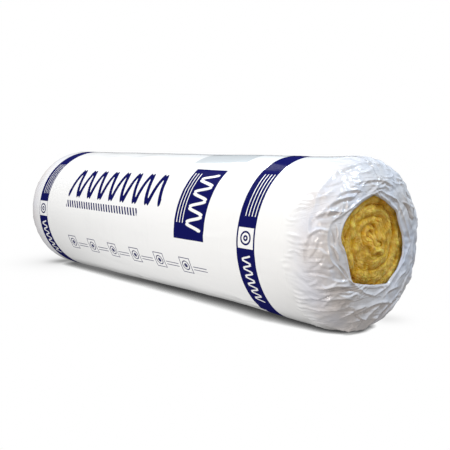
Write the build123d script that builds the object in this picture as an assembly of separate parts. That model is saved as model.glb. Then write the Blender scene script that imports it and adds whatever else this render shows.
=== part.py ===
from build123d import *
import math
import os

# Insulation roll: a glass wool mat wound into a tight coil and held by a film sleeve.
# Millimetres. The roll lies on its side along X, its open front end is at +X, and the floor is at Z = 0.

# Wool coil
MAT_WIDTH = 1200.0
COIL_DIAMETER = 364.0
SHOULDER_RADIUS = 50.0
SHOULDER_STEPS = 3
REST_RING_WIDTH = 10.0
DISH_DEPTH = 10.0
DISH_SLOPE_DEG = 25.0

# Turns of the mat, seen on the ends as one spiral groove
TURN_PITCH = 20.0
GROOVE_WIDTH = 8.0
GROOVE_DEPTH = 7.0
FIRST_TURN_RADIUS = 8.0

# Film sleeve, thicker than the real film so that it is a solid of its own
FILM_THICKNESS = 1.0
FILM_CLEARANCE = 0.3

# Opening left in the film at each end: its corners as (degrees from +Y towards +Z, share of the rest ring's radius)
HEM_CORNERS = [(92, 0.90), (40, 0.85), (351, 0.90), (300, 0.80), (221, 0.79), (168, 0.94), (147, 0.94)]
HEM_CORNER_RADIUS = 14.0
REAR_HEM_TURN_DEG = 130.0

coil_radius = COIL_DIAMETER / 2
half_width = MAT_WIDTH / 2
roll_radius = coil_radius + FILM_CLEARANCE + FILM_THICKNESS
shoulder_centre_radius = coil_radius - SHOULDER_RADIUS
ring_inner_radius = shoulder_centre_radius - REST_RING_WIDTH
dish_slope = math.radians(DISH_SLOPE_DEG)
dish_floor_radius = ring_inner_radius - DISH_DEPTH / math.tan(dish_slope)
end_floor = half_width - DISH_DEPTH


def coil_envelope(grow):
    """Turned outside shape of the coil about the X axis, offset outwards by grow.

    Each soft shoulder is a ring of cones that touch the arc of the shoulder radius, the dish in each end is a
    cone with a flat floor, and every corner of the outline lies on the bisector of its two sides.
    """
    outline = [(0, coil_radius + grow)]
    corner_reach = (SHOULDER_RADIUS + grow) / math.cos(math.pi / 4 / (SHOULDER_STEPS + 1))
    for step in range(SHOULDER_STEPS + 1):
        angle = math.pi / 2 * (1 - (step + 0.5) / (SHOULDER_STEPS + 1))
        corner_x = half_width - SHOULDER_RADIUS + corner_reach * math.cos(angle)
        outline.append((corner_x, shoulder_centre_radius + corner_reach * math.sin(angle)))
    bisector = grow * math.tan(dish_slope / 2)
    outline.append((half_width + grow, ring_inner_radius - bisector))
    outline.append((end_floor + grow, dish_floor_radius - bisector))
    outline.append((end_floor + grow, 0))
    outline.append((0, 0))
    front_half = revolve(make_face(Polyline(*outline, close=True)), Axis.X)
    return front_half + mirror(front_half, Plane.YZ)


def groove_half_turn(number, floor_x, inwards):
    """Half a turn of the V groove between two layers of mat, cut into the end floor at floor_x."""
    radius = FIRST_TURN_RADIUS + number * TURN_PITCH / 2
    centre_y = -TURN_PITCH / 4 if number % 2 == 0 else TURN_PITCH / 4
    lift = 1.0
    mouth = GROOVE_WIDTH / 2 * (1 + lift / GROOVE_DEPTH)
    section = make_face(
        Polyline(
            (floor_x - inwards * lift, centre_y + radius - mouth),
            (floor_x + inwards * GROOVE_DEPTH, centre_y + radius),
            (floor_x - inwards * lift, centre_y + radius + mouth),
            close=True,
        )
    )
    turn_axis = Axis((0, centre_y, 0), (1, 0, 0))
    half_turn = revolve(section, turn_axis, 180)
    return half_turn if number % 2 == 0 else half_turn.rotate(turn_axis, 180)


def hem_opening(end_x, turn_deg):
    """Prism that cuts the uneven, round-cornered opening through the film of one end."""
    corners = []
    for angle_deg, share in HEM_CORNERS:
        angle = math.radians(angle_deg + turn_deg)
        reach = share * ring_inner_radius
        corners.append((reach * math.cos(angle), reach * math.sin(angle)))
    outline = make_face(Polyline(*corners, close=True))
    outline = fillet(outline.vertices(), HEM_CORNER_RADIUS)
    depth = DISH_DEPTH + 4 * FILM_THICKNESS
    return extrude(Plane.YZ.offset(end_x) * outline, depth, both=True)


# Wool coil: the groove runs outwards by half turns until the next one would leave the dish floor.
wool_roll = coil_envelope(0)
turn_room = dish_floor_radius - TURN_PITCH / 4 - GROOVE_WIDTH / 2 - FIRST_TURN_RADIUS
half_turns = 1 + math.floor(turn_room / (TURN_PITCH / 2))
for number in range(half_turns):
    wool_roll -= groove_half_turn(number, end_floor, -1)
    wool_roll -= groove_half_turn(number, -end_floor, 1)

# Film sleeve: a skin that follows the coil all round and stops at the hem of each end's opening.
film_wrap = coil_envelope(FILM_CLEARANCE + FILM_THICKNESS) - coil_envelope(FILM_CLEARANCE)
film_wrap -= hem_opening(half_width, 0)
film_wrap -= hem_opening(-half_width, REAR_HEM_TURN_DEG)

os.makedirs("parts", exist_ok=True)
for name, solid in {"wool_roll": wool_roll, "film_wrap": film_wrap}.items():
    export_step(Pos(0, 0, roll_radius) * solid, f"parts/{name}.step")
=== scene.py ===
from functools import partial

import bpy
import numpy as np
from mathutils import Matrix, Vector


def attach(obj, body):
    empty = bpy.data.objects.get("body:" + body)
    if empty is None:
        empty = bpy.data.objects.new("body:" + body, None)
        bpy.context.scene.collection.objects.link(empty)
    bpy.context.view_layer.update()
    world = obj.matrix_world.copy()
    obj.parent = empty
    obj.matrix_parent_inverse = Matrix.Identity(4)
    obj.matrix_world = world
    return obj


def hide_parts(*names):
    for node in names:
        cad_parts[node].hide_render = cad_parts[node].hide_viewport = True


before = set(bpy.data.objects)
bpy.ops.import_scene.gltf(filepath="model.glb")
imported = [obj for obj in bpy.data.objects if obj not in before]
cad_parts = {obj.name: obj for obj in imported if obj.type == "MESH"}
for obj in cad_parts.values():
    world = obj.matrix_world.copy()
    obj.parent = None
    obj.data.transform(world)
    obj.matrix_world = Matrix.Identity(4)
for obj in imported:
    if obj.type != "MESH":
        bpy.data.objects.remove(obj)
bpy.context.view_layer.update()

# Wool coil: a mat of golden glass wool, wound tightly and cut square at both ends. It is one soft body
# whose turns show on the ends as a spiral of rounded layers, with the start of the mat folded in the middle.
AXIS_HEIGHT = 0.1833
COIL_RADIUS = 0.1785
COIL_HALF_LENGTH = 0.600
SHOULDER_RADIUS = 0.060
SHOULDER_BACK, SHOULDER_INSET = 0.006, 0.002
END_FLOOR = 0.589
END_CROWN, CROWN_SPREAD = 0.012, 0.055
RIM_RISE, RIM_FROM, RIM_TO = 0.003, 0.090, 0.130
UPPER_RISE, FAR_SIDE_RISE = 0.004, 0.0055
TURN_PITCH, TURN_DEPTH = 0.0245, 0.012
SWIRL_CENTRE = (-0.010, 0.0145)
MIDDLE_FOLD, FOLD_SIZE = 0.020, 0.030
TURN_BENDS = [(0.26, 0.050), (0.13, 0.020)]
LUMPS = [(0.0030, 0.016), (0.0014, 0.0070), (0.0004, 0.0030)]
LUMP_LIMIT, INNER_LUMP_LIMIT = 0.0012, 0.004
LAYER_LEVEL = 0.0045
TUFT_HEIGHT, TUFT_LENGTH = 0.0016, 0.013
END_MIDDLE, END_EDGE = 0.0004, 0.1315
FRONT_ROWS, REAR_ROWS, WOOL_COLUMNS = 160, 62, 360
FRONT_SEED, REAR_SEED = 11, 41
# Wool colours from the crest of a layer to the bottom of a gap: the dark brown end is painted shade in the gaps.
WOOL_AND_GAP_SHADE_TONES = [(0.0, (0.85, 0.59, 0.13, 1)), (0.42, (0.76, 0.43, 0.040, 1)), (1.0, (0.37, 0.125, 0.003, 1))]


def smoothstep(low, high, value):
    """0 below low, 1 above high, and the S of 3t^2 - 2t^3 between them."""
    t = np.clip((value - low) / (high - low), 0, 1)
    return t * t * (3 - 2 * t)


def bell(angle, centre_deg, spread_deg):
    """e to the minus square of the distance of the angle, taken from 0 to 360, from a centre, over the spread."""
    return np.exp(-((np.degrees(angle) % 360 - centre_deg) / spread_deg) ** 2)


def soft_noise(u, v, seed, round_cells=0):
    """Smooth noise from -1 to 1: random heights on a square lattice, blended by the smoothstep S in u and v.

    round_cells makes v close on itself after that many cells.
    """
    heights = np.random.default_rng(seed).uniform(-1, 1, (97, round_cells or 97))
    iu, iv = np.floor(u).astype(int), np.floor(v).astype(int)
    fu, fv = u - iu, v - iv
    su, sv = fu * fu * (3 - 2 * fu), fv * fv * (3 - 2 * fv)
    rows, columns = heights.shape
    a, b = iu % rows, iv % columns
    c, d = (iu + 1) % rows, (iv + 1) % columns
    low = heights[a, b] * (1 - su) + heights[c, b] * su
    high = heights[a, d] * (1 - su) + heights[c, d] * su
    return low * (1 - sv) + high * sv


def layered_noise(y, z, layers, seed):
    """The sum of soft noise at several sizes, each layer a height and a size."""
    return sum(height * soft_noise(y / size, z / size, seed + number) for number, (height, size) in enumerate(layers))


def put_in_scene(name, data):
    """An object at the origin that holds a mesh, a light or a camera."""
    thing = bpy.data.objects.new(name, data)
    bpy.context.scene.collection.objects.link(thing)
    return thing


def mesh_piece(name, points, faces):
    """A smooth mesh object of those points and faces."""
    mesh = bpy.data.meshes.new(name)
    mesh.from_pydata(points.reshape(-1, 3).tolist(), [], faces)
    mesh.polygons.foreach_set("use_smooth", np.ones(len(mesh.polygons), bool))
    mesh.update()
    return put_in_scene(name, mesh)


def grid_piece(name, points, closed_round):
    """A mesh object from a grid of points: rows run along the piece, columns run round it, and faces point outwards.

    A grid that is closed round gets one face over its first row and one over its last.
    """
    rows, columns, _ = points.shape
    number = np.arange(rows * columns).reshape(rows, columns)
    caps = [number[0, ::-1].tolist(), number[-1].tolist()] if closed_round else []
    if closed_round:
        number = np.hstack([number, number[:, :1]])
    quads = np.stack([number[:-1, :-1], number[:-1, 1:], number[1:, 1:], number[1:, :-1]], axis=-1)
    return mesh_piece(name, points, quads.reshape(-1, 4).tolist() + caps)


def put_attribute(piece, name, values):
    """Stores one number per vertex under that name."""
    layer = piece.data.attributes.new(name, "FLOAT", "POINT")
    layer.data.foreach_set("value", np.ascontiguousarray(values, dtype=np.float32).ravel())


def coil_turns(y, z, seed):
    """The layer at each place: the way across it from 0 to 1, along the mat in turns, and out from the swirl's centre.

    The turn number is the distance from the swirl's centre over the pitch, less the angle over a full turn, bent by
    noise. Its fraction runs across one layer. Its whole part plus the angle over a full turn runs along the mat.
    Near the centre the place itself is first pushed about by noise, so that the layers fold over each other.
    """
    away = np.hypot(y - SWIRL_CENTRE[0], z - SWIRL_CENTRE[1])
    fold = MIDDLE_FOLD * (1 - smoothstep(0.015, 0.080, away))
    y, z = (y + fold * soft_noise(y / FOLD_SIZE + 7.3, z / FOLD_SIZE + 2.1, seed),
            z + fold * soft_noise(y / FOLD_SIZE + 1.9, z / FOLD_SIZE + 8.6, seed + 1))
    away = np.hypot(y - SWIRL_CENTRE[0], z - SWIRL_CENTRE[1])
    angle = np.arctan2(z - SWIRL_CENTRE[1], y - SWIRL_CENTRE[0])
    turn = away / TURN_PITCH - angle / (2 * np.pi) + layered_noise(y, z, TURN_BENDS, seed + 2)
    return turn - np.floor(turn), np.floor(turn) + angle / (2 * np.pi), away


def coil_end(away, angle, seed):
    """Distance of one end's surface from the coil's middle, and how deep it lies in the gap between two layers, which
    the wool's colour turns into painted shade.

    A floor with a crown in the middle, a rim that rises under the film, and two parts that stand further out, at the
    top and on the far side. Each layer has a round crown, the sine of half a turn raised to a low power, whose level
    and depth change along the mat. Tufts are noise drawn out along the layers, and lumps are noise at three sizes.
    """
    y, z = away * np.cos(angle), away * np.sin(angle)
    base = END_FLOOR + END_CROWN * np.exp(-(away / CROWN_SPREAD) ** 2) + RIM_RISE * smoothstep(RIM_FROM, RIM_TO, away)
    upper = bell(angle, 95, 42) * smoothstep(0.062, 0.088, away) * (1 - smoothstep(0.118, 0.130, away))
    far_side = bell(angle + np.radians(160), 180, 62)
    far_side = far_side * smoothstep(0.050, 0.078, away) * (1 - smoothstep(0.100, 0.130, away))
    base = base + UPPER_RISE * upper + FAR_SIDE_RISE * far_side
    across, along, from_swirl = coil_turns(y, z, seed)
    crown = np.sin(np.pi * across) ** 0.5
    depth = TURN_DEPTH * (0.85 + 0.45 * soft_noise(along * 5.3, 0 * along + 0.5, seed + 7))
    level = LAYER_LEVEL * (soft_noise(along * 3.1, 0 * along + 2.5, seed + 8) - 0.6)
    tufts = TUFT_HEIGHT * soft_noise(across * 4.5, along * from_swirl * 2 * np.pi / TUFT_LENGTH, seed + 9) * crown
    lumps = layered_noise(y, z, LUMPS, seed + 4)
    lump_limit = LUMP_LIMIT + INNER_LUMP_LIMIT * (1 - smoothstep(0.090, 0.115, away))
    rough = depth * (crown - 1) + level * crown + tufts + np.minimum(lumps, lump_limit)
    bare = 1 - smoothstep(0.128, 0.132, away)
    # How deep each place lies in a gap: the wool's colour darkens with it, as painted shade between the layers.
    gap = np.clip((1 - crown) * depth / TURN_DEPTH - 0.30 * lumps / LUMPS[0][0], 0, 1.5)
    return base + rough * bare, gap * bare


column_angle = np.linspace(0, 2 * np.pi, WOOL_COLUMNS, endpoint=False)
front_away = np.append(np.linspace(END_MIDDLE, RIM_TO, FRONT_ROWS), END_EDGE)
rear_away = np.append(np.linspace(END_MIDDLE, RIM_TO, REAR_ROWS), END_EDGE)
front_x, front_gap_shade = coil_end(front_away[:, None], column_angle[None, :], FRONT_SEED)
rear_x, rear_gap_shade = coil_end(rear_away[:, None], column_angle[None, :] + np.pi, REAR_SEED)
shoulder_turn = np.linspace(np.radians(12), np.radians(90), 8)
shoulder_x = COIL_HALF_LENGTH - SHOULDER_RADIUS + (SHOULDER_RADIUS - SHOULDER_BACK) * np.cos(shoulder_turn)
shoulder_rise = (SHOULDER_RADIUS - SHOULDER_INSET) * np.sin(shoulder_turn)
shoulder_away = COIL_RADIUS - SHOULDER_RADIUS + SHOULDER_INSET + shoulder_rise
side_x = np.linspace(COIL_HALF_LENGTH - SHOULDER_RADIUS, -COIL_HALF_LENGTH + SHOULDER_RADIUS, 9)[1:-1]
covered_x = np.concatenate([shoulder_x, side_x, -shoulder_x[::-1]])
covered_away = np.concatenate([shoulder_away, np.full(len(side_x), COIL_RADIUS), shoulder_away[::-1]])
coil_x = np.vstack([front_x, np.repeat(covered_x[:, None], WOOL_COLUMNS, 1), -rear_x[::-1]])
coil_away = np.concatenate([front_away, covered_away, rear_away[::-1]])[:, None]
coil_points = np.stack(
    [coil_x, coil_away * np.cos(column_angle), AXIS_HEIGHT + coil_away * np.sin(column_angle)], axis=-1)
wool = grid_piece("wool_coil", coil_points[::-1], True)
covered_gap_shade = np.zeros((len(covered_x), WOOL_COLUMNS))
put_attribute(wool, "painted_gap_shade", np.vstack([front_gap_shade, covered_gap_shade, rear_gap_shade[::-1]])[::-1])


def new_look(piece, name, fixed):
    """A material for the piece, with numbers set on its shader; returns its node tree and the shader's sockets."""
    look = bpy.data.materials.new(name)
    look.use_nodes = True
    piece.data.materials.append(look)
    sockets = look.node_tree.nodes["Principled BSDF"].inputs
    for label, value in fixed.items():
        sockets[label].default_value = value
    return look.node_tree, sockets


def fill_socket(tree, socket, value):
    """Links an output to the socket, or sets the socket to a number or colour."""
    if isinstance(value, bpy.types.NodeSocket):
        tree.links.new(value, socket)
    else:
        socket.default_value = value


def add_node(tree, kind, values):
    """The outputs of a new node whose inputs are set or linked by name."""
    node = tree.nodes.new("ShaderNode" + kind)
    for label, value in values.items():
        fill_socket(tree, node.inputs[label], value)
    return node.outputs


def calc(tree, operation, *values):
    """The output of a Math node."""
    node = tree.nodes.new("ShaderNodeMath")
    node.operation = operation
    for socket, value in zip(node.inputs, values):
        fill_socket(tree, socket, value)
    return node.outputs[0]


def stored(tree, name):
    """The number that was stored on the mesh under that name."""
    node = tree.nodes.new("ShaderNodeAttribute")
    node.attribute_name = name
    return node.outputs["Fac"]


def colour_ramp(tree, value, stops):
    """The colour that a ramp through the stops, each a position and a colour, has at the value."""
    node = tree.nodes.new("ShaderNodeValToRGB")
    elements = node.color_ramp.elements
    for element, (position, colour) in zip(elements, (stops[0], stops[-1])):
        element.position, element.color = position, colour
    for position, colour in stops[1:-1]:
        elements.new(position).color = colour
    tree.links.new(value, node.inputs["Fac"])
    return node.outputs["Color"]


tree, shader = new_look(wool, "glass_wool", {
    "Roughness": 1.0, "Specular IOR Level": 0.0,
    "Subsurface Weight": 0.8, "Subsurface Radius": (1.0, 0.6, 0.2), "Subsurface Scale": 0.008,
})
place = add_node(tree, "TexCoord", {})["Object"]
felt = add_node(tree, "TexNoise", {"Vector": place, "Scale": 70, "Detail": 5, "Roughness": 0.65})["Fac"]
clouds = add_node(tree, "TexNoise", {"Vector": place, "Scale": 24, "Detail": 3})["Fac"]
# The colour darkens with depth in the gaps between the layers, which is painted shade; the felt and cloud noise vary
# the tone at random.
shade = calc(tree, "MULTIPLY_ADD", felt, -0.75, stored(tree, "painted_gap_shade"))
shade = calc(tree, "MULTIPLY_ADD", clouds, 0.85, shade)
felt_bump = add_node(tree, "Bump", {"Strength": 0.5, "Distance": 0.002, "Height": felt})
tree.links.new(colour_ramp(tree, shade, WOOL_AND_GAP_SHADE_TONES), shader["Base Color"])
tree.links.new(felt_bump["Normal"], shader["Normal"])
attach(wool, "root")
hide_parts("wool_roll")

# Loose fibres: fine glass threads that stand off the cut ends of the mat, each a thin bent tube of three sides.
# They run mostly along the layers, start in the wool and rise a few millimetres clear of it.
FIBRE_THICKNESS = 0.00032
FIBRE_STEPS = 9
FIBRE_REACH, FIBRE_LIMIT = 0.122, 0.127
FIBRE_SUNK = 0.0006
FRONT_FIBRES, REAR_FIBRES = 2400, 700
FRONT_FIBRE_SEED, REAR_FIBRE_SEED = 71, 72
FIBRE_TONES = [(0.35, (0.66, 0.38, 0.045, 1)), (0.65, (0.94, 0.68, 0.20, 1))]


def fibre_tubes(count, seed, facing, end_seed):
    """Points, side faces, and the triangles that close the start and the end, of the fibres of one end.

    A fibre is a curve over the end: a start, a heading that bends steadily, and a height that is a mean of the wool
    under it and the highest wool on its way, plus half a sine wave. Its three long edges are offset from the curve and
    taper to its tips.
    """
    rng = np.random.default_rng(seed)
    away, angle = FIBRE_REACH * np.sqrt(rng.uniform(0.004, 1, count)), rng.uniform(0, 2 * np.pi, count)
    start_y, start_z = away * np.cos(angle), away * np.sin(angle)
    swirl = np.arctan2(start_z - SWIRL_CENTRE[1], start_y - SWIRL_CENTRE[0])
    heading = swirl + np.pi / 2 + rng.normal(0, 0.75, count)
    length, bend = rng.uniform(0.006, 0.026, count), rng.normal(0, 55, count)
    rise = rng.uniform(0.0004, 0.0034, count)
    t = np.linspace(0, 1, FIBRE_STEPS)[:, None]
    turned = heading + bend * length * t
    y = start_y + np.cumsum(np.cos(turned), axis=0) * length / FIBRE_STEPS
    z = start_z + np.cumsum(np.sin(turned), axis=0) * length / FIBRE_STEPS
    reach = np.minimum(np.hypot(y, z), FIBRE_LIMIT)
    wool_x, _ = coil_end(reach, np.arctan2(z, y) + (0 if facing > 0 else np.pi), end_seed)
    x = facing * (wool_x.max(axis=0) * 0.35 + wool_x * 0.65 - FIBRE_SUNK + rise * np.sin(np.pi * t))
    thick = FIBRE_THICKNESS * np.sqrt(np.sin(np.pi * np.clip(t, 0.02, 0.98)))
    side = (np.arange(3) * 2 * np.pi / 3)[:, None, None]
    points = np.stack([
        x + thick * np.sin(side),
        y - thick * np.sin(turned) * np.cos(side),
        AXIS_HEIGHT + z + thick * np.cos(turned) * np.cos(side),
    ], axis=-1).transpose(2, 1, 0, 3)
    number = np.arange(count * FIBRE_STEPS * 3).reshape(count, FIBRE_STEPS, 3)
    following = np.roll(number, -1, axis=2)
    sides = np.stack([number[:, :-1], following[:, :-1], following[:, 1:], number[:, 1:]], axis=-1)
    return points.reshape(-1, 3), sides.reshape(-1, 4), number[:, 0, ::-1], number[:, -1]


front_points, *front_faces = fibre_tubes(FRONT_FIBRES, FRONT_FIBRE_SEED, 1, FRONT_SEED)
rear_points, *rear_faces = fibre_tubes(REAR_FIBRES, REAR_FIBRE_SEED, -1, REAR_SEED)
fibre_faces = []
for front_part, rear_part in zip(front_faces, rear_faces):
    fibre_faces += front_part.tolist() + (rear_part + len(front_points)).tolist()
fibres = mesh_piece("wool_fibres", np.concatenate([front_points, rear_points]), fibre_faces)
tree, shader = new_look(fibres, "glass_fibre", {"Roughness": 0.55, "Specular IOR Level": 0.0})
place = add_node(tree, "TexCoord", {})["Object"]
spread = add_node(tree, "TexNoise", {"Vector": place, "Scale": 60})["Fac"]
tree.links.new(colour_ramp(tree, spread, FIBRE_TONES), shader["Base Color"])
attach(fibres, "root")
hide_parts("wool_roll")

# Film sleeve: white polyethylene film, printed in dark blue, wrapped round the coil with a lap along the top.
# Its ends are pulled in over the coil's shoulders, where the spare width gathers in folds, and stop at a turned hem.
FILM_RADIUS = 0.1823
SEAM_DEG = 86.0
FILM_COLUMNS, LAP_COLUMNS, HEM_ROWS = 468, 12, 6
LAP_LIFT = 0.0006
GATHER_FROM = 0.470
CREST = 0.601
FACE_AWAY = 0.098
ROUNDNESS = 2.4
SHOULDER_ROWS_TO = 0.060
SPARE_ROUND, LENGTH_FACTOR = 0.06, 1.003
FIRST_WRINKLES = [(0.0007, 0.03, 96), (0.0011, 0.05, 52)]
FIRST_LIFT = 0.0012
SETTLE_ROUNDS = 320
EDGE_PULL, DIAGONAL_PULL = 0.45, 0.12
STIFFNESS_ROUND, STIFFNESS_ALONG = 0.010, 0.015
MOST_LIFT = 0.010
HEM_TUCK, HEM_CURL, HEM_BACK = 0.012, 0.0016, 0.0026
HEM_ROLL, HEM_ROLL_AT, HEM_ROLL_WIDTH = 0.0011, 0.0035, 0.0028
BORDER_RIDGE, BORDER_RIDGE_WIDTH, BORDER_SUNK = 0.0022, 0.0018, 0.0012
SHORT_GATHERS, GATHER_START, GATHER_LENGTH = 104, 0.030, 0.044
GATHER_HEIGHT, TIGHT_GATHER_HEIGHT = 0.0015, 0.0040
CRUMPLE_SIZES = (0.024, 0.012, 0.006)
CRUMPLE_SHARE, MORE_CRUMPLE_SHARE = 0.028, 0.030
SMALL_FOLDS, SMALL_FOLD_SEED = 105, 17
BODY_SCATTER, BODY_SCATTER_SEED = 60, 23
BODY_DENTS = [(0.0009, 0.085, 14), (0.0004, 0.050, 28)]
FULLER_FRONT, LOW_FRONT_SAG = 0.0006, 0.0065
AXIS_LIFT, FRONT_RISE, LEAST_HEIGHT = 0.0003, 0.0020, 0.0004
REAR_TURN_DEG = 130.0
# Corners of the opening and of the flat border round it: degrees from +Y towards +Z, and distance on the unrolled end.
HEM_CORNERS = [
    (102, 0.112), (80, 0.096), (50, 0.091), (31, 0.082), (12, 0.086), (358, 0.089), (342, 0.092), (322, 0.089),
    (290, 0.089), (260, 0.081), (232, 0.092), (214, 0.112), (198, 0.107), (179, 0.114), (169, 0.131), (162, 0.132),
    (152, 0.131), (139, 0.124), (122, 0.115),
]
BORDER_CORNERS = [
    (158, 0.163), (169, 0.163), (184, 0.153), (208, 0.118), (241, 0.103), (262, 0.102), (290, 0.094), (335, 0.099),
    (359, 0.117), (56, 0.110), (93, 0.117), (122, 0.122), (144, 0.137),
]
# The folds that stand out most: start and end as (degrees, distance on the unrolled end), height and width.
MAIN_FOLDS = [
    ((184, 0.209), (169, 0.203), 0.0035, 0.0061),
    ((169, 0.203), (152, 0.206), 0.0036, 0.0067),
    ((154, 0.206), (131, 0.208), 0.0036, 0.0073),
    ((133, 0.207), (108, 0.192), 0.0035, 0.0067),
    ((176, 0.218), (174, 0.168), -0.0052, 0.0028),
    ((157, 0.200), (145, 0.148), 0.0058, 0.0045),
    ((152, 0.190), (128, 0.146), 0.0057, 0.0050),
    ((139, 0.176), (118, 0.140), 0.0038, 0.0045),
    ((169, 0.203), (161, 0.170), 0.0045, 0.0033),
    ((191, 0.208), (194, 0.158), -0.0045, 0.0031),
    ((200, 0.184), (216, 0.112), 0.0052, 0.0045),
    ((204, 0.176), (230, 0.103), -0.0041, 0.0039),
    ((210, 0.186), (226, 0.125), 0.0046, 0.0041),
    ((217, 0.228), (227, 0.146), 0.0041, 0.0045),
    ((241, 0.200), (277, 0.184), 0.0045, 0.0050),
    ((232, 0.170), (249, 0.120), 0.0045, 0.0039),
    ((242, 0.170), (260, 0.146), 0.0038, 0.0039),
    ((240, 0.138), (296, 0.130), 0.0038, 0.0045),
    ((278, 0.106), (309, 0.115), 0.0029, 0.0028),
    ((301, 0.102), (330, 0.117), 0.0030, 0.0028),
    ((318, 0.165), (338, 0.136), 0.0041, 0.0045),
    ((352, 0.155), (12, 0.138), 0.0036, 0.0039),
    ((48, 0.123), (28, 0.133), 0.0035, 0.0033),
    ((124, 0.170), (70, 0.143), 0.0035, 0.0050),
    ((117, 0.200), (80, 0.180), 0.0030, 0.0056),
    ((55, 0.150), (75, 0.135), 0.0030, 0.0030),
    ((26, 0.142), (54, 0.126), 0.0048, 0.0042),
    ((18, 0.129), (40, 0.119), -0.0038, 0.0030),
    ((30, 0.160), (55, 0.145), -0.0030, 0.0030),
    ((15, 0.150), (38, 0.140), 0.0032, 0.0034),
    ((10, 0.120), (40, 0.118), 0.0028, 0.0024),
    ((340, 0.165), (10, 0.155), -0.0032, 0.0030),
    ((335, 0.130), (5, 0.126), 0.0030, 0.0026),
    ((308, 0.168), (342, 0.148), 0.0026, 0.0032),
    ((300, 0.150), (330, 0.128), -0.0035, 0.0030),
    ((280, 0.180), (312, 0.148), 0.0026, 0.0032),
    ((270, 0.185), (305, 0.140), -0.0034, 0.0030),
    ((262, 0.175), (300, 0.125), 0.0036, 0.0036),
    ((250, 0.165), (285, 0.115), 0.0032, 0.0032),
]
# Pleats of the flat border, at the widest part of it, given in the same way.
BORDER_PLEATS = [
    ((190, 0.125), (209, 0.114), 0.0026, 0.0020),
    ((187, 0.136), (206, 0.118), -0.0024, 0.0020),
    ((172, 0.150), (186, 0.128), 0.0034, 0.0025),
    ((163, 0.152), (177, 0.141), -0.0030, 0.0022),
    ((158, 0.145), (168, 0.137), 0.0024, 0.0020),
]
# Tension creases between the two ends: start and end as (distance along the roll, degrees), height and width.
BODY_CREASES = [
    ((-0.200, 172), (-0.190, 196), 0.0016, 0.0090),
    ((0.000, 172), (0.012, 186), 0.0014, 0.0100),
    ((0.282, 180), (0.290, 196), 0.0016, 0.0090),
    ((-0.110, 236), (-0.060, 246), -0.0050, 0.0120),
    ((0.345, 232), (0.385, 243), -0.0045, 0.0080),
    ((0.300, 224), (0.372, 238), 0.0022, 0.0100),
    ((-0.300, 118), (-0.230, 100), 0.0014, 0.0080),
    ((-0.160, 112), (-0.090, 97), 0.0014, 0.0080),
    ((0.060, 96), (0.420, 93), 0.0012, 0.0060),
]

film_angle = np.radians(SEAM_DEG) + np.linspace(0, 2 * np.pi, FILM_COLUMNS, endpoint=False)
film_share = film_angle / (2 * np.pi)
all_columns = np.ones(FILM_COLUMNS)


def corner_line(corners, angle):
    """Distance from the axis of a closed line of straight runs between corners, averaged over six degrees."""
    corner_deg, corner_away = np.array(sorted((a % 360, r) for a, r in corners)).T
    fine = np.linspace(0, 360, 2881)
    y = np.interp(fine, corner_deg, corner_away * np.cos(np.radians(corner_deg)), period=360)
    z = np.interp(fine, corner_deg, corner_away * np.sin(np.radians(corner_deg)), period=360)
    fine_deg, fine_away = np.degrees(np.arctan2(z, y)) % 360, np.hypot(y, z)
    order = np.argsort(fine_deg)
    wanted = np.degrees(angle)[None, :] + np.linspace(-3, 3, 9)[:, None]
    return np.interp(wanted % 360, fine_deg[order], fine_away[order], period=360).mean(axis=0)


def round_points(x, away, angle):
    """Points at distances along and from the roll's axis, at each column's angle."""
    return np.stack([x, away * np.cos(angle), away * np.sin(angle)], axis=-1)


# The pulled-in end before it folds: a straight run, then a shoulder that flattens towards the hem. The shoulder is a
# quarter of a superellipse, x^n + r^n = 1 between the roll's side and the flat face.
profile_turn = np.linspace(0, np.pi / 2, 2001)
profile_x = CREST - SHOULDER_RADIUS * (1 - np.sin(profile_turn) ** (2 / ROUNDNESS))
profile_away = FACE_AWAY + (FILM_RADIUS - FACE_AWAY) * np.cos(profile_turn) ** (2 / ROUNDNESS)
profile_reach = np.concatenate([[0], np.cumsum(np.hypot(np.diff(profile_x), np.diff(profile_away)))])
shoulder_length = profile_reach[-1]
run_length = CREST - SHOULDER_RADIUS - GATHER_FROM
hem_line = corner_line(HEM_CORNERS, film_angle)
border_line = corner_line(BORDER_CORNERS, film_angle)
hem_at = run_length + shoulder_length + FACE_AWAY - hem_line
end_reach = np.vstack([
    np.linspace(0, run_length, 25)[:-1, None] * all_columns,
    np.linspace(run_length, run_length + SHOULDER_ROWS_TO, 30)[:-1, None] * all_columns,
    run_length + SHOULDER_ROWS_TO + (hem_at - run_length - SHOULDER_ROWS_TO) * np.linspace(0, 1, 51)[:, None],
])
past_run = end_reach - run_length
end_x = np.where(past_run < 0, GATHER_FROM + end_reach, np.interp(past_run, profile_reach, profile_x))
end_away = np.interp(past_run, profile_reach, profile_away) - np.maximum(past_run - shoulder_length, 0)
smooth_end = round_points(end_x, end_away, film_angle)
slope, run = np.gradient(end_away, axis=0), np.gradient(end_x, axis=0)
tilt = np.hypot(slope, run)
outward = round_points(-slope / tilt, run / tilt, film_angle)
unrolled = run_length + shoulder_length + FACE_AWAY - end_reach
end_y, end_z = unrolled * np.cos(film_angle), unrolled * np.sin(film_angle)
from_hem, outside_border = unrolled - hem_line, unrolled - border_line


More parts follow.
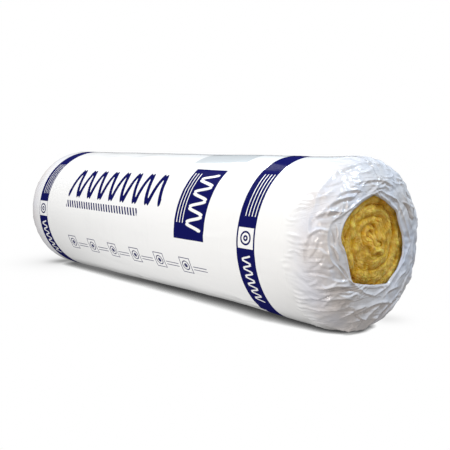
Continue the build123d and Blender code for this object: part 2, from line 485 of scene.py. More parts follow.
def settle_gathers(smooth, outward, reach, spare, rounds):
    """The pulled-in film end, settled as a thin sheet that doesn't stretch and lies on the coil.

    It starts from slanting wrinkles, which are noise. Each round moves neighbours towards the distance they have in the
    flat film, round the roll, along it and on both diagonals, takes out kinks with the fourth difference, holds the
    first rows and the hem, and lifts points that are inside the smooth shape back onto it. spare is how much longer the
    film is round the roll than the shape under it.
    """
    def length(d):
        return np.sqrt(np.einsum("ijk,ijk->ij", d, d))

    def pull(d, rest, share):
        return d * (share * (1 - rest / length(d)))[..., None]

    rest_round = length(np.roll(smooth, -1, axis=1) - smooth) * (1 + spare)
    rest_along = length(smooth[1:] - smooth[:-1]) * LENGTH_FACTOR
    rest_across = np.hypot(0.5 * (rest_round[1:] + rest_round[:-1]), rest_along)
    share = film_share[None, :]
    slant = share + 0.35 * reach * np.sin(2 * np.pi * 3 * share + 0.7) + 0.2 * reach * np.sin(2 * np.pi * 5 * share)
    wrinkles = sum(height * soft_noise(reach / length, slant * cells, 5 + number, cells)
                   for number, (height, length, cells) in enumerate(FIRST_WRINKLES))
    p = smooth + outward * ((wrinkles + FIRST_LIFT) * smoothstep(0.0, 0.05, reach))[..., None]
    for _ in range(rounds):
        push = pull(np.roll(p, -1, axis=1) - p, rest_round, EDGE_PULL)
        p += push - np.roll(push, 1, axis=1)
        push = pull(p[1:] - p[:-1], rest_along, EDGE_PULL)
        p[:-1] += push
        p[1:] -= push
        for shift in (-1, 1):
            push = pull(np.roll(p[1:], shift, axis=1) - p[:-1], rest_across, DIAGONAL_PULL)
            p[:-1] += push
            p[1:] -= np.roll(push, -shift, axis=1)
        kink = 6 * p - 4 * (np.roll(p, 1, 1) + np.roll(p, -1, 1)) + np.roll(p, 2, 1) + np.roll(p, -2, 1)
        p -= STIFFNESS_ROUND * kink
        kink = 6 * p[2:-2] - 4 * (p[1:-3] + p[3:-1]) + p[:-4] + p[4:]
        p[2:-2] -= STIFFNESS_ALONG * kink
        height = np.einsum("ijk,ijk->ij", p - smooth, outward)
        p -= outward * (np.minimum(height, 0) + np.maximum(height - MOST_LIFT, 0))[..., None]
        p[:2], p[-1] = smooth[:2], smooth[-1]
    return p


def fold_height(y, z, start, end, height, width):
    """One fold on the flat film: a sharp crest along a line, steep on one side and gentle on the other.

    Across the line it falls off as e to the minus distance over width, with 0.4 of the width on the steep side and a
    shallow hollow beside it. Along the line, which bows a little, it fades in and out.
    """
    length = np.hypot(end[0] - start[0], end[1] - start[1])
    dy, dz = (end[0] - start[0]) / length, (end[1] - start[1]) / length
    along = ((y - start[0]) * dy + (z - start[1]) * dz) / length
    across = (z - start[1]) * dy - (y - start[0]) * dz + 0.10 * length * (2 * along - 1) ** 2
    fade = smoothstep(-0.12, 0.30, along) * (1 - smoothstep(0.70, 1.12, along))
    rounding = 0.0008
    away = np.sqrt(across ** 2 + rounding ** 2) - rounding
    crest = np.exp(-away / np.where(across > 0, width, 0.4 * width))
    hollow = 0.35 * np.exp(-((across + 1.1 * width) / (0.6 * width)) ** 2)
    return height * fade * (crest - hollow)


def listed_folds(y, z, spot, folds):
    """Height of all the folds of a list, whose ends spot turns into places."""
    return sum(fold_height(y, z, spot(*start), spot(*end), height, width) for start, end, height, width in folds)


def scattered_fold(y, z, middle, reach, height, width):
    """Height of a fold that goes from its middle by the reach to one side, and as far to the other."""
    start, end = (middle[0] - reach[0], middle[1] - reach[1]), (middle[0] + reach[0], middle[1] + reach[1])
    return fold_height(y, z, start, end, height, width)


def end_spot(deg, away):
    """Place on the unrolled end, from the angle and the distance."""
    return away * np.cos(np.radians(deg)), away * np.sin(np.radians(deg))


def body_spot(x, deg):
    """Place on the flat film between the ends: along the roll, and round it at the film's radius."""
    return x, np.radians(deg) * FILM_RADIUS


def end_folds(seed):
    """Height of the folds on the pulled-in end: the main ones, then a scatter of smaller ones that lean the same way.

    On the face of the end the folds lean from the radius by -90 degrees times tanh((angle - 180) / 50), or / 85 below,
    which makes them run level on one half and along the hem on the other.
    """
    total = listed_folds(end_y, end_z, end_spot, MAIN_FOLDS)
    rng = np.random.default_rng(seed)
    for _ in range(SMALL_FOLDS):
        deg, away = rng.uniform(0, 360), rng.uniform(0.122, 0.196)
        lean = -90 * np.tanh((deg - 180) / (50 if deg < 180 else 85)) * (1 - 0.7 * smoothstep(0.15, 0.20, away))
        lean += rng.normal(0, 24)
        reach = end_spot(deg + lean, rng.uniform(0.010, 0.030))
        height, width = rng.choice([1, 1, -0.8]) * rng.uniform(0.0011, 0.0034), rng.uniform(0.0020, 0.0050)
        total += scattered_fold(end_y, end_z, end_spot(deg, away), reach, height, width)
    return total


def crumple_height(y, z, seed):
    """Crumpled film: the absolute value of noise, which is sharp where it passes through nought, at three sizes."""
    total = np.zeros_like(y)
    for number, size in enumerate(CRUMPLE_SIZES):
        bent = y + 0.3 * size * soft_noise(y / size, z / size, seed + 10 + number)
        ridge = np.abs(soft_noise(bent / size + 3.7, z / size + 1.3, seed + number))
        valley = np.abs(soft_noise(bent / size + 9.1, z / size + 5.9, seed + 20 + number))
        total += size * (valley - ridge)
    return total


def short_gather_height(reach):
    """Short gathers where the film starts to turn in: sharp crests about 11 mm apart that fade out along the roll.

    The crests are one less a power of the absolute sine of the angle, bent by noise. Each has its own start, length
    and height, and they are highest on the side where the film is pulled tightest.
    """
    share = np.broadcast_to(film_share, reach.shape)
    bent = share * SHORT_GATHERS + 0.5 * soft_noise(reach / 0.02, share * 52, 33, 52)
    crest = 1 - np.abs(np.sin(np.pi * bent)) ** 0.7
    number = np.floor(bent + 0.5)
    start = GATHER_START + 0.014 * soft_noise(0 * reach, number * 0.37, 34)
    length = GATHER_LENGTH + 0.016 * soft_noise(0 * reach, number * 0.53, 35)
    strong = np.clip(0.6 + 0.8 * soft_noise(0 * reach, number * 0.71, 36), 0, 1)
    along = (reach - start) / length
    height = GATHER_HEIGHT + TIGHT_GATHER_HEIGHT * bell(film_angle, 185, 62)
    return height * strong * crest * smoothstep(0, 0.35, along) * (1 - smoothstep(0.55, 1.0, along))


# The film is spare where the shoulder starts, most of all on the side away from the seam, and not at the hem.
patches = 0.75 + 0.75 * soft_noise(0 * film_angle, film_share * 18, 8, 18) + 0.4 * bell(film_angle, 195, 45)
spare = SPARE_ROUND * smoothstep(0.028, 0.070, end_reach) * (1 - 0.80 * smoothstep(0.08, 0.12, end_reach)) * patches
spare *= smoothstep(0.0, 0.015, from_hem)
gathered = settle_gathers(smooth_end, outward, end_reach, spare, SETTLE_ROUNDS)
# Folds, crumples and gathers are laid over it. The flat border has only its pleats, a ridge round it and faint
# crumples, and the hem has a soft roll along its edge.
loose = smoothstep(-0.003, 0.008, outside_border)
crumpled = bell(film_angle, 92, 42) + 0.6 * bell(film_angle, 350, 50) + 0.7 * bell(film_angle, 186, 20)
crumple_share = CRUMPLE_SHARE + MORE_CRUMPLE_SHARE * crumpled
crumple = crumple_height(end_y, end_z, 60) * crumple_share * smoothstep(0.055, 0.105, end_reach)
border_ridge = BORDER_RIDGE * np.exp(-np.abs(outside_border) / BORDER_RIDGE_WIDTH)
border_ridge -= BORDER_SUNK * smoothstep(0.0, 0.008, -outside_border)
lift = listed_folds(end_y, end_z, end_spot, BORDER_PLEATS) + end_folds(SMALL_FOLD_SEED) * loose
lift += crumple * (0.6 + 0.4 * loose) + border_ridge + short_gather_height(end_reach)
lift *= 0.25 + 0.75 * smoothstep(0.0, 0.008, from_hem)
lift += HEM_ROLL * np.exp(-((from_hem - HEM_ROLL_AT) / HEM_ROLL_WIDTH) ** 2)
gathered = gathered + outward * lift[..., None]

# The rear end is gathered in the same way: the front's folds, turned round the roll, on every second row.
rear_shift = round(REAR_TURN_DEG / 360 * FILM_COLUMNS)
rear_end = smooth_end + smoothstep(0.080, 0.120, end_reach)[..., None] * (gathered - smooth_end)
rear_end = round_points(
    -rear_end[..., 0], np.hypot(rear_end[..., 1], rear_end[..., 2]),
    np.arctan2(rear_end[..., 2], rear_end[..., 1]) + np.radians(REAR_TURN_DEG))
rear_end = np.roll(rear_end, rear_shift, axis=1)[::-2]


def turned_hem(edge, facing):
    """Rows behind the hem: the film turns in over a small round and runs back under itself for the tuck's length."""
    steps = np.linspace(0, 1, HEM_ROWS + 1)[1:, None]
    away, angle = np.hypot(edge[:, 1], edge[:, 2]), np.arctan2(edge[:, 2], edge[:, 1])
    curl = HEM_CURL * np.sin(np.pi * np.clip(steps * 2.5, 0, 1))
    back = edge[:, 0] - facing * HEM_BACK * np.sqrt(steps)
    return round_points(back, away - curl + HEM_TUCK * np.clip(steps - 0.3, 0, 1), angle)


# Between the two ends the sleeve lies smooth, with the tension creases and soft dents, which are noise at two sizes.
# A scatter of fainter creases follows, most of them along the roll, and deeper at the back.
body_x = np.linspace(-GATHER_FROM, GATHER_FROM, 40)[1:-1]
flat_x, flat_arc = body_x[:, None], (film_angle * FILM_RADIUS)[None, :]
body_lift = listed_folds(flat_x, flat_arc, body_spot, BODY_CREASES)
for number, (height, length, cells) in enumerate(BODY_DENTS):
    body_lift += height * soft_noise(flat_x / length + 20, film_share[None, :] * cells, 91 + number, cells)
rng = np.random.default_rng(BODY_SCATTER_SEED)
for _ in range(BODY_SCATTER):
    x, deg, half, lean = rng.uniform(-0.42, 0.42), rng.uniform(90, 440), rng.uniform(0.02, 0.09), rng.normal(0, 0.35)
    height = rng.choice([1, -1]) * rng.uniform(0.0003, 0.0009) * (4.0 if 275 < deg < 415 else 1)
    reach = half * np.cos(lean), half * np.sin(lean)
    body_lift += scattered_fold(flat_x, flat_arc, body_spot(x, deg), reach, height, rng.uniform(0.006, 0.014))
body_lift *= smoothstep(-0.46, -0.40, flat_x) * (1 - smoothstep(0.40, 0.46, flat_x))
body = round_points(flat_x * all_columns, FILM_RADIUS + body_lift, film_angle)
front_hem, rear_hem = turned_hem(gathered[-1], 1), turned_hem(rear_end[0], -1)[::-1]
film = np.concatenate([rear_hem, rear_end, body, gathered, front_hem])
mean_reach = GATHER_FROM + end_reach.mean(axis=1)
hem_run = mean_reach[-1] + np.linspace(0, HEM_TUCK, HEM_ROWS + 1)[1:]
flat_along = np.concatenate([-hem_run[::-1], -mean_reach[::-2], body_x, mean_reach, hem_run])

# The whole sleeve sags a little: the front is fuller than the rear, most of all low down, and the axis rises with it so
# that it stays on the floor.
film_x, film_away = film[..., 0], np.hypot(film[..., 1], film[..., 2])
sag_angle = np.arctan2(film[..., 2], film[..., 1])
fuller = FULLER_FRONT * smoothstep(0.33, 0.50, film_x) * smoothstep(0.08, 0.15, film_away)
low_front = bell(sag_angle, 248, 32) * smoothstep(0.22, 0.46, film_x) * (1 - 0.9 * smoothstep(0.50, 0.58, film_x))
fuller += LOW_FRONT_SAG * low_front * smoothstep(0.10, 0.17, film_away)
film = round_points(film_x, film_away + fuller, sag_angle)
film[..., 2] += FILM_RADIUS + AXIS_LIFT + FRONT_RISE * (film_x + COIL_HALF_LENGTH) / 1.1
film[..., 2] = np.maximum(film[..., 2], LEAST_HEIGHT)

# The lap: the sheet's last columns lie over its first ones.
lap_rise = LAP_LIFT * smoothstep(-4, 0, np.arange(FILM_COLUMNS + LAP_COLUMNS) - FILM_COLUMNS)
film = np.concatenate([film, film[:, :LAP_COLUMNS]], axis=1)
from_axis = film * (0, 1, 1) - (0, 0, AXIS_HEIGHT)
film += from_axis / np.linalg.norm(from_axis, axis=-1, keepdims=True) * lap_rise[:, None]
FLAT_LENGTH = float(flat_along[-1] - flat_along[0])
FLAT_WIDTH = 2 * np.pi * FILM_RADIUS * (FILM_COLUMNS + LAP_COLUMNS - 1) / FILM_COLUMNS
film_piece = grid_piece("film_sleeve", film, False)
flat_u, flat_v = np.meshgrid(flat_along / FLAT_LENGTH + 0.5, np.linspace(0, 1, film.shape[1]), indexing="ij")
corner_vertex = np.zeros(len(film_piece.data.loops), dtype=np.int32)
film_piece.data.loops.foreach_get("vertex_index", corner_vertex)
flat_uv = np.stack([flat_u.ravel(), flat_v.ravel()], axis=-1)[corner_vertex].astype(np.float32)
film_piece.data.uv_layers.new(name="flat_film").data.foreach_set("uv", flat_uv.ravel())
# Where the film is pulled in: it picks the ends' relief and their darker colour, which is painted shade.
pulled_in = smoothstep(0.49, 0.57, np.abs(flat_along))
put_attribute(film_piece, "pulled_in", np.repeat(pulled_in[:, None], film.shape[1], axis=1))
# The way across the folds: level on the near half of an end, and out from the middle on the other half.
across_folds = np.hypot(np.maximum(end_y, 0), end_z)
hem_gap, body_gap = np.zeros((HEM_ROWS, FILM_COLUMNS)), np.zeros((len(body_x), FILM_COLUMNS))
rear_across = np.roll(across_folds, rear_shift, axis=1)[::-2]
across_folds = np.concatenate([hem_gap, rear_across, body_gap, across_folds, hem_gap])
put_attribute(film_piece, "fold_across", np.concatenate([across_folds, across_folds[:, :LAP_COLUMNS]], axis=1))


def new_group(name, *inputs):
    """An empty node group with number inputs and one output, Ink; returns it, calc for its nodes, and its inputs."""
    group = bpy.data.node_groups.new(name, "ShaderNodeTree")
    for label in inputs:
        group.interface.new_socket(label, in_out="INPUT", socket_type="NodeSocketFloat")
    group.interface.new_socket("Ink", in_out="OUTPUT", socket_type="NodeSocketFloat")
    given = group.nodes.new("NodeGroupInput").outputs
    return group, partial(calc, group), [given[label] for label in inputs]


def put_out(group, ink):
    """Makes that ink the group's output."""
    group.links.new(ink, group.nodes.new("NodeGroupOutput").inputs["Ink"])


def use_group(tree, group, *values):
    """The ink of a group node whose inputs are set or linked in their order."""
    node = tree.nodes.new("ShaderNodeGroup")
    node.node_tree = group
    for socket, value in zip(node.inputs, values):
        fill_socket(tree, socket, value)
    return node.outputs["Ink"]


def map_range(tree, value, from_low, from_high, to_low, to_high):
    """The output of a Map Range node, held between its two ends."""
    return add_node(tree, "MapRange", {
        "Value": value, "From Min": from_low, "From Max": from_high, "To Min": to_low, "To Max": to_high})["Result"]


def mix_colour(tree, factor, colour_a, colour_b):
    """The colour that lies between two colours by the factor."""
    node = tree.nodes.new("ShaderNodeMix")
    node.data_type = "RGBA"
    for label, value in (("Factor", factor), ("A", colour_a), ("B", colour_b)):
        fill_socket(tree, node.inputs[label], value)
    return node.outputs["Result"]


def ink_edge(tree, depth):
    """1 inside a printed shape and 0 outside, with an edge 0.5 mm wide, from the depth inside the shape."""
    edge = calc(tree, "MULTIPLY_ADD", depth, 1 / 0.0005, 0.5)
    edge.node.use_clamp = True
    return edge


# A printed block between two distances along the roll and two round it.
print_block, step, (along, around, left, right, low, high) = new_group(
    "print_block", "Along", "Round", "Left", "Right", "Low", "High")
from_left, to_right = step("SUBTRACT", along, left), step("SUBTRACT", right, along)
from_low, to_high = step("SUBTRACT", around, low), step("SUBTRACT", high, around)
depth = step("MINIMUM", step("MINIMUM", from_left, to_right), step("MINIMUM", from_low, to_high))
put_out(print_block, ink_edge(print_block, depth))

# A printed wave, the drawing sign for insulation: a stroke that follows a cosine between two ends.
print_wave, step, (along, across, left, right, centre, height, length, stroke) = new_group(
    "print_wave", "Along", "Across", "Left", "Right", "Centre", "Height", "Length", "Stroke")
from_left, to_right = step("SUBTRACT", along, left), step("SUBTRACT", right, along)
phase = step("MULTIPLY", step("DIVIDE", from_left, length), 2 * np.pi)
swing = step("MULTIPLY", step("COSINE", phase), height)
miss = step("ABSOLUTE", step("SUBTRACT", step("SUBTRACT", across, centre), swing))
steep = step("MULTIPLY", step("SINE", phase), step("DIVIDE", step("MULTIPLY", height, 2 * np.pi), length))
square_to = step("DIVIDE", miss, step("SQRT", step("MULTIPLY_ADD", steep, steep, 1.0)))
depth = step("SUBTRACT", step("MULTIPLY", stroke, 0.5), square_to)
put_out(print_wave, ink_edge(print_wave, step("MINIMUM", depth, step("MINIMUM", from_left, to_right))))

# Printed rules: equal strokes, one in each pitch.
print_rules, step, (across, pitch, stroke) = new_group("print_rules", "Across", "Pitch", "Stroke")
off_rule = step("PINGPONG", across, step("MULTIPLY", pitch, 0.5))
put_out(print_rules, ink_edge(print_rules, step("SUBTRACT", step("MULTIPLY", stroke, 0.5), off_rule)))

# A printed ring round a centre.
print_ring, step, (along, around, radius, stroke) = new_group("print_ring", "Along", "Round", "Radius", "Stroke")
reach = step("SQRT", step("MULTIPLY_ADD", along, along, step("MULTIPLY", around, around)))
off_ring = step("ABSOLUTE", step("SUBTRACT", reach, radius))
put_out(print_ring, ink_edge(print_ring, step("SUBTRACT", step("MULTIPLY", stroke, 0.5), off_ring)))

# Sizes of the print, in the order of the groups' inputs: a block has its left, right, low and high edges, a wave its
# two ends, centre, height, length and stroke, rules their pitch and stroke, and a ring its radius and stroke.
BAND_LINES, BAND_RULES = (-0.016, 0.022, 0.405, 0.512), (0.0095, 0.0022)
BAND_SQUARE, SQUARE_MIDDLE = (-0.0225, 0.0225, 0.5365, 0.5815), 0.559
OUTER_RING, INNER_RING = (0.0135, 0.0042), (0.0045, 0.0042)
BAND_WAVE = (0.596, 0.716, 0.0, 0.010, 0.020, 0.0045)
FRONT_BAND, FRONT_BAND_WIDTH = 0.390, 0.054
REAR_BAND, REAR_BAND_WIDTH = -0.4905, 0.048
MAIN_WAVE = (-0.355, 0.081, 0.4687, 0.034, 0.0545, 0.0145)
HATCH, HATCH_RULES = (-0.355, -0.005, 0.5245, 0.5445), (0.0125, 0.0064)
PANEL, PANEL_WAVE = (0.148, 0.255, 0.398, 0.583), (0.414, 0.562, 0.217, 0.021, 0.037, 0.0085)
PANEL_LINES, PANEL_RULES = (0.152, 0.184, 0.414, 0.545), (0.0105, 0.0026)
PALE_BLOCK = (0.106, 0.284, 0.293, 0.369)
TILE_ROW, TILE_START, TILE_PITCH = (-0.3625, 0.252, 0.628, 0.675), -0.362, 0.103
TILE_MIDDLE = (0.020, 0.6515)
TILE_FRAME, TILE_INSIDE = (-0.0200, 0.0200, -0.0215, 0.0215), (-0.0178, 0.0178, -0.0193, 0.0193)
TILE_RING, TILE_DOT = (0.0120, 0.0028), (0.0030, 0.0062)
TILE_LINES, TILE_RULES = (0.026, 0.074, -0.005, 0.011), (0.0080, 0.0021)

# A printed band: solid, with fine rules, a bare square that holds two rings, and a small wave. Along is measured
# from its middle.
print_band, step, (along, around, width) = new_group("print_band", "Along", "Round", "Width")
use = partial(use_group, print_band)
solid = ink_edge(print_band, step("SUBTRACT", step("MULTIPLY", width, 0.5), step("ABSOLUTE", along)))
fine = step("MULTIPLY", use(print_rules, along, *BAND_RULES), use(print_block, along, around, *BAND_LINES))
from_square = along, step("SUBTRACT", around, SQUARE_MIDDLE)
rings = step("MAXIMUM", use(print_ring, *from_square, *OUTER_RING), use(print_ring, *from_square, *INNER_RING))
framed_rings = step("SUBTRACT", use(print_block, along, around, *BAND_SQUARE), rings)
small_wave = use(print_wave, around, along, *BAND_WAVE)
bare = step("MAXIMUM", step("MAXIMUM", fine, small_wave), framed_rings)
put_out(print_band, step("MULTIPLY", solid, step("SUBTRACT", 1.0, bare)))

# The print on the flat film, from the distance along from the roll's middle and the distance round it.
INK = (0.0062, 0.0072, 0.090, 1)
PALE_INK = (0.57, 0.60, 0.61, 1)
WHITE_FILM = (0.87, 0.87, 0.865, 1)
SHADED_WARM_END, SHADED_COOL_END = (0.70, 0.66, 0.645, 1), (0.68, 0.685, 0.745, 1)
tree, shader = new_look(film_piece, "printed_film", {
    "Specular IOR Level": 0.0, "Coat Roughness": 0.14, "Coat IOR": 1.45})
step, use = partial(calc, tree), partial(use_group, tree)
flat_place = tree.nodes.new("ShaderNodeUVMap")
flat_place.uv_map = "flat_film"
flat_place = add_node(tree, "SeparateXYZ", {"Vector": flat_place.outputs["UV"]})
along = step("MULTIPLY", step("SUBTRACT", flat_place["X"], 0.5), FLAT_LENGTH)
around = step("MULTIPLY_ADD", flat_place["Y"], FLAT_WIDTH, np.radians(SEAM_DEG) * FILM_RADIUS)
marks = [use(print_band, step("SUBTRACT", along, FRONT_BAND), around, FRONT_BAND_WIDTH),
         use(print_band, step("SUBTRACT", along, REAR_BAND), around, REAR_BAND_WIDTH),
         use(print_wave, along, around, *MAIN_WAVE)]
hatch_rules = use(print_rules, step("MULTIPLY_ADD", around, -0.5, along), *HATCH_RULES)
marks.append(step("MULTIPLY", hatch_rules, use(print_block, along, around, *HATCH)))
panel_lines = step("MULTIPLY", use(print_rules, along, *PANEL_RULES), use(print_block, along, around, *PANEL_LINES))
panel_bare = step("MAXIMUM", use(print_wave, around, along, *PANEL_WAVE), panel_lines)
marks.append(step("SUBTRACT", use(print_block, along, around, *PANEL), panel_bare))
# A row of small tiles, each a frame with a ring and a dot, and two rules beside it.
tile_along = step("MODULO", step("ADD", along, -TILE_START), TILE_PITCH)
in_tile = step("SUBTRACT", tile_along, TILE_MIDDLE[0]), step("SUBTRACT", around, TILE_MIDDLE[1])
tile_frame = step("SUBTRACT", use(print_block, *in_tile, *TILE_FRAME), use(print_block, *in_tile, *TILE_INSIDE))
tile_rings = step("MAXIMUM", use(print_ring, *in_tile, *TILE_RING), use(print_ring, *in_tile, *TILE_DOT))
tile_lines = step("MULTIPLY", use(print_rules, in_tile[1], *TILE_RULES), use(print_block, *in_tile, *TILE_LINES))
tile = step("MAXIMUM", step("ADD", tile_frame, tile_rings), tile_lines)
marks.append(step("MULTIPLY", step("MULTIPLY", use(print_block, along, around, *TILE_ROW), tile), 0.95))
ink = marks[0]
for mark in marks[1:]:
    ink = step("MAXIMUM", ink, mark)

# The film's look: white on the roll, and on the pulled-in ends a darker white, which is painted shade, that goes from
# warm to cool at random in clouds. It is glossy where it isn't printed.
pulled = stored(tree, "pulled_in")
place = add_node(tree, "TexCoord", {})["Object"]
cloud = add_node(tree, "TexNoise", {"Vector": place, "Scale": 9, "Detail": 4})["Fac"]
clouded = map_range(tree, cloud, 0.38, 0.62, 0.0, 1.0)
# The pulled-in ends are darker than the roll, which is painted shade for the turned ends; their warm and cool clouds
# are random tone.
tone = mix_colour(tree, pulled, WHITE_FILM, mix_colour(tree, clouded, SHADED_WARM_END, SHADED_COOL_END))
tone = mix_colour(tree, use(print_block, along, around, *PALE_BLOCK), tone, PALE_INK)
tree.links.new(mix_colour(tree, ink, tone, INK), shader["Base Color"])
tree.links.new(map_range(tree, cloud, 0.0, 1.0, 0.26, 0.40), shader["Roughness"])
tree.links.new(step("MULTIPLY_ADD", ink, -0.97, 1.0), shader["Coat Weight"])

# The finest creases are bump. On the ends they are the edges of bent cells at two sizes, and fine lines that run along
# the folds, in patches. On the roll they are faint lines round it. A line is where noise passes through its middle.
crinkle = add_node(tree, "TexNoise", {"Vector": place, "Scale": 28, "Detail": 3})["Color"]
bent_place = tree.nodes.new("ShaderNodeVectorMath")
bent_place.operation = "MULTIPLY_ADD"
for socket, value in zip(bent_place.inputs, (crinkle, (0.02, 0.02, 0.02), place)):
    fill_socket(tree, socket, value)
drawn_out = add_node(tree, "Mapping", {"Vector": bent_place.outputs["Vector"], "Scale": (0.6, 0.42, 1.0)})["Vector"]
creases = 0.0
for crease_scale, crease_share in ((55, 0.6), (120, 0.4)):
    cells = tree.nodes.new("ShaderNodeTexVoronoi")
    cells.feature = "DISTANCE_TO_EDGE"
    cells.inputs["Scale"].default_value = crease_scale
    tree.links.new(drawn_out, cells.inputs["Vector"])
    from_edge = map_range(tree, cells.outputs["Distance"], 0.0, 0.22, 0.0, 1.0)
    creases = step("MULTIPLY_ADD", from_edge, crease_share, creases)


def noise_lines(x, y, z, detail, width):
    """1 along the lines where noise at that place passes through its middle, down to 0 at the width from them."""
    line_place = add_node(tree, "CombineXYZ", {"X": x, "Y": y, "Z": z})["Vector"]
    noise = add_node(tree, "TexNoise", {"Vector": line_place, "Scale": 1.0, "Detail": detail})["Fac"]
    return map_range(tree, step("ABSOLUTE", step("SUBTRACT", noise, 0.5)), 0.0, width, 1.0, 0.0)


object_place = add_node(tree, "SeparateXYZ", {"Vector": place})
fold_lines = noise_lines(
    step("MULTIPLY", stored(tree, "fold_across"), 95.0), step("MULTIPLY", object_place["Y"], 20.0),
    step("MULTIPLY", object_place["Z"], 20.0), 1, 0.07)
line_patches = add_node(tree, "TexNoise", {"Vector": place, "Scale": 17, "Detail": 1})["Fac"]
fold_lines = step("MULTIPLY", fold_lines, map_range(tree, line_patches, 0.47, 0.62, 0.0, 1.0))
round_lines = noise_lines(step("MULTIPLY", along, 26.0), step("MULTIPLY", around, 5.0), 0.0, 2, 0.05)
round_lines = step("MULTIPLY", round_lines, map_range(tree, cloud, 0.45, 0.60, 0.0, 1.0))
end_relief = step("MULTIPLY", creases, step("MULTIPLY", clouded, 0.45))
end_relief = step("ADD", end_relief, step("MULTIPLY", fold_lines, 0.8))
body_relief = step("MULTIPLY", round_lines, step("MULTIPLY_ADD", pulled, -0.75, 0.75))
relief = step("MULTIPLY_ADD", end_relief, pulled, body_relief)
crease_bump = add_node(tree, "Bump", {"Strength": 0.5, "Distance": 0.0016, "Height": relief})
tree.links.new(crease_bump["Normal"], shader["Normal"])
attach(film_piece, "root")
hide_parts("film_wrap")

# Floor, light and camera: a white floor that fades into a white background, lit from the front, the left and above.
# The floor glows and darkens only where the roll shuts off its view, so that a short shadow lies along the roll.
FLOOR_HALF = 20
REAR_FOOT = -0.610
FRONT_SHADE = (0.545, 0.115)
SKY_LIGHT = 0.475
CAMERA_PLACE = Vector((1.384, -1.1655, 0.4036))
CAMERA_YAW, CAMERA_PITCH = np.radians(-47.06), np.radians(-7.24)
CAMERA_LENS = 53.55
floor_corners = np.array([(-1, -1, 0), (1, -1, 0), (1, 1, 0), (-1, 1, 0)]) * FLOOR_HALF
floor = mesh_piece("floor", floor_corners, [(0, 1, 2, 3)])
floor_look = bpy.data.materials.new("white_floor")
floor_look.use_nodes = True
floor.data.materials.append(floor_look)
tree = floor_look.node_tree
tree.nodes.clear()
step = partial(calc, tree)
floor_place = add_node(tree, "SeparateXYZ", {"Vector": add_node(tree, "TexCoord", {})["Object"]})
floor_x, floor_y = floor_place["X"], floor_place["Y"]
middle_width = map_range(tree, floor_x, -0.5, 0.4, 0.028, 0.037)
front_width = map_range(tree, floor_x, 0.33, 0.55, 0.037, 0.013)
open_view = tree.nodes.new("ShaderNodeAmbientOcclusion")
open_view.samples = 16
tree.links.new(step("MINIMUM", middle_width, front_width), open_view.inputs["Distance"])
shadow = step("POWER", map_range(tree, open_view.outputs["AO"], 0.0, 0.70, 0.0, 1.0), 1.25)
contact = step("MAXIMUM", shadow, map_range(tree, floor_x, -0.40, -0.05, 0.17, 0.035))


def floor_bell(away_x, away_y, spread):
    """e to the minus square of the distance over the spread."""
    squared = step("MULTIPLY_ADD", away_x, away_x, step("MULTIPLY", away_y, away_y))
    return step("EXPONENT", step("MULTIPLY", squared, -1 / spread ** 2))


# Past the rear end the shadow spreads, as two bells round the foot of that end. Before the near end it is one faint
# bell.
from_rear = step("SUBTRACT", floor_x, REAR_FOOT)
beside_rear = step("MAXIMUM", step("SUBTRACT", step("ABSOLUTE", floor_y), 0.05), 0.0)
rear_shade = step("MULTIPLY_ADD", floor_bell(from_rear, beside_rear, 0.12), -0.18, 1.0)
rear_shade = step("MULTIPLY_ADD", floor_bell(from_rear, beside_rear, 0.045), -0.52, rear_shade)
from_front, beside_front = step("SUBTRACT", floor_x, FRONT_SHADE[0]), step("SUBTRACT", floor_y, FRONT_SHADE[1])
front_shade = step("MULTIPLY_ADD", floor_bell(from_front, beside_front, 0.040), -0.18, 1.0)
floor_tone = step("MULTIPLY", step("MULTIPLY", contact, rear_shade), front_shade)
# The light that the floor throws back on the roll is weaker than the floor looks, and fades out before the near end.
seen = add_node(tree, "LightPath", {})["Is Camera Ray"]
rear_bounce = map_range(tree, floor_x, -0.80, -0.15, 0.33, 0.72)
bounce = step("MINIMUM", rear_bounce, map_range(tree, floor_x, 0.3, 0.80, 0.72, 0.05))
bounce = step("MULTIPLY", bounce, step("MAXIMUM", floor_tone, 0.35))
strength = step("MULTIPLY_ADD", seen, floor_tone, step("MULTIPLY", step("SUBTRACT", 1.0, seen), bounce))
glow = add_node(tree, "Emission", {"Strength": strength})["Emission"]
add_node(tree, "OutputMaterial", {"Surface": glow})

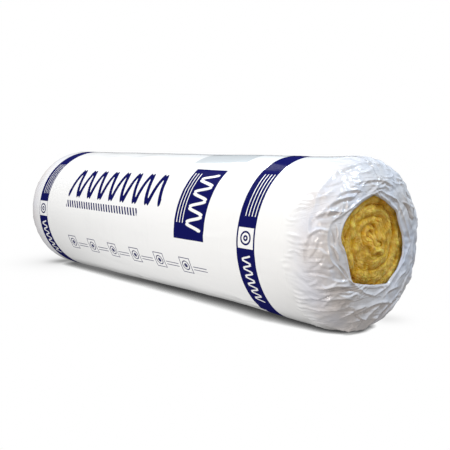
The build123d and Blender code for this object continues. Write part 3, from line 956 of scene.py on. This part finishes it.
world = bpy.data.worlds.new("studio")
bpy.context.scene.world = world
world.use_nodes = True
tree = world.node_tree
sky = tree.nodes["Background"]
sky.inputs["Color"].default_value = (1, 1, 1, 1)
seen = add_node(tree, "LightPath", {})["Is Camera Ray"]
tree.links.new(map_range(tree, seen, 0, 1, SKY_LIGHT, 1.0), sky.inputs["Strength"])


def place_facing(thing, place, direction):
    """Puts a light or camera at the place, turned to face along the direction."""
    thing.location = place
    thing.rotation_euler = direction.to_track_quat("-Z", "Y").to_euler()


def soft_light(name, place, aim, size, power, colour):
    """A square area light at place that faces aim."""
    light = bpy.data.lights.new(name, "AREA")
    light.size, light.energy, light.color = size, power, colour
    place_facing(put_in_scene(name, light), place, Vector(aim) - Vector(place))


# A narrow warm spot lifts the upper part of the wool, and five soft lights do the rest.
SPOT_PLACE, SPOT_AIM = Vector((1.95, -0.40, 0.10)), Vector((0.59, -0.016, 0.262))
spot_light = bpy.data.lights.new("snoot", "SPOT")
spot_light.energy, spot_light.color = 10, (1.0, 0.90, 0.68)
spot_light.spot_size, spot_light.spot_blend, spot_light.shadow_soft_size = np.radians(8.6), 0.8, 0.15
place_facing(put_in_scene("snoot", spot_light), SPOT_PLACE, SPOT_AIM - SPOT_PLACE)
soft_light("key", (0.25, -2.8, 1.3), (0.1, 0, 0.18), 1.8, 39.5, (1, 1, 1))
soft_light("top", (-1.35, -0.35, 2.6), (-0.2, 0, 0.2), 1.6, 33, (1, 1, 1))
soft_light("rear", (-1.7, 1.0, 2.2), (-0.6, 0, 0.2), 0.5, 15, (1, 1, 1))
soft_light("end", (1.26, 0.36, 1.45), (0.6, 0, 0.25), 0.35, 17, (0.60, 0.79, 1.0))
soft_light("warm", (1.25, -1.20, 0.30), (0.53, -0.16, 0.16), 0.3, 4.1, (1.0, 0.92, 0.84))

camera_data = bpy.data.cameras.new("camera")
camera_data.lens = CAMERA_LENS
camera_data.sensor_width = 36
camera = put_in_scene("camera", camera_data)
level = np.cos(CAMERA_PITCH)
sight = Vector((np.sin(CAMERA_YAW) * level, np.cos(CAMERA_YAW) * level, np.sin(CAMERA_PITCH)))
place_facing(camera, CAMERA_PLACE, sight)
bpy.context.scene.camera = camera
bpy.context.scene.view_settings.view_transform = "Standard"
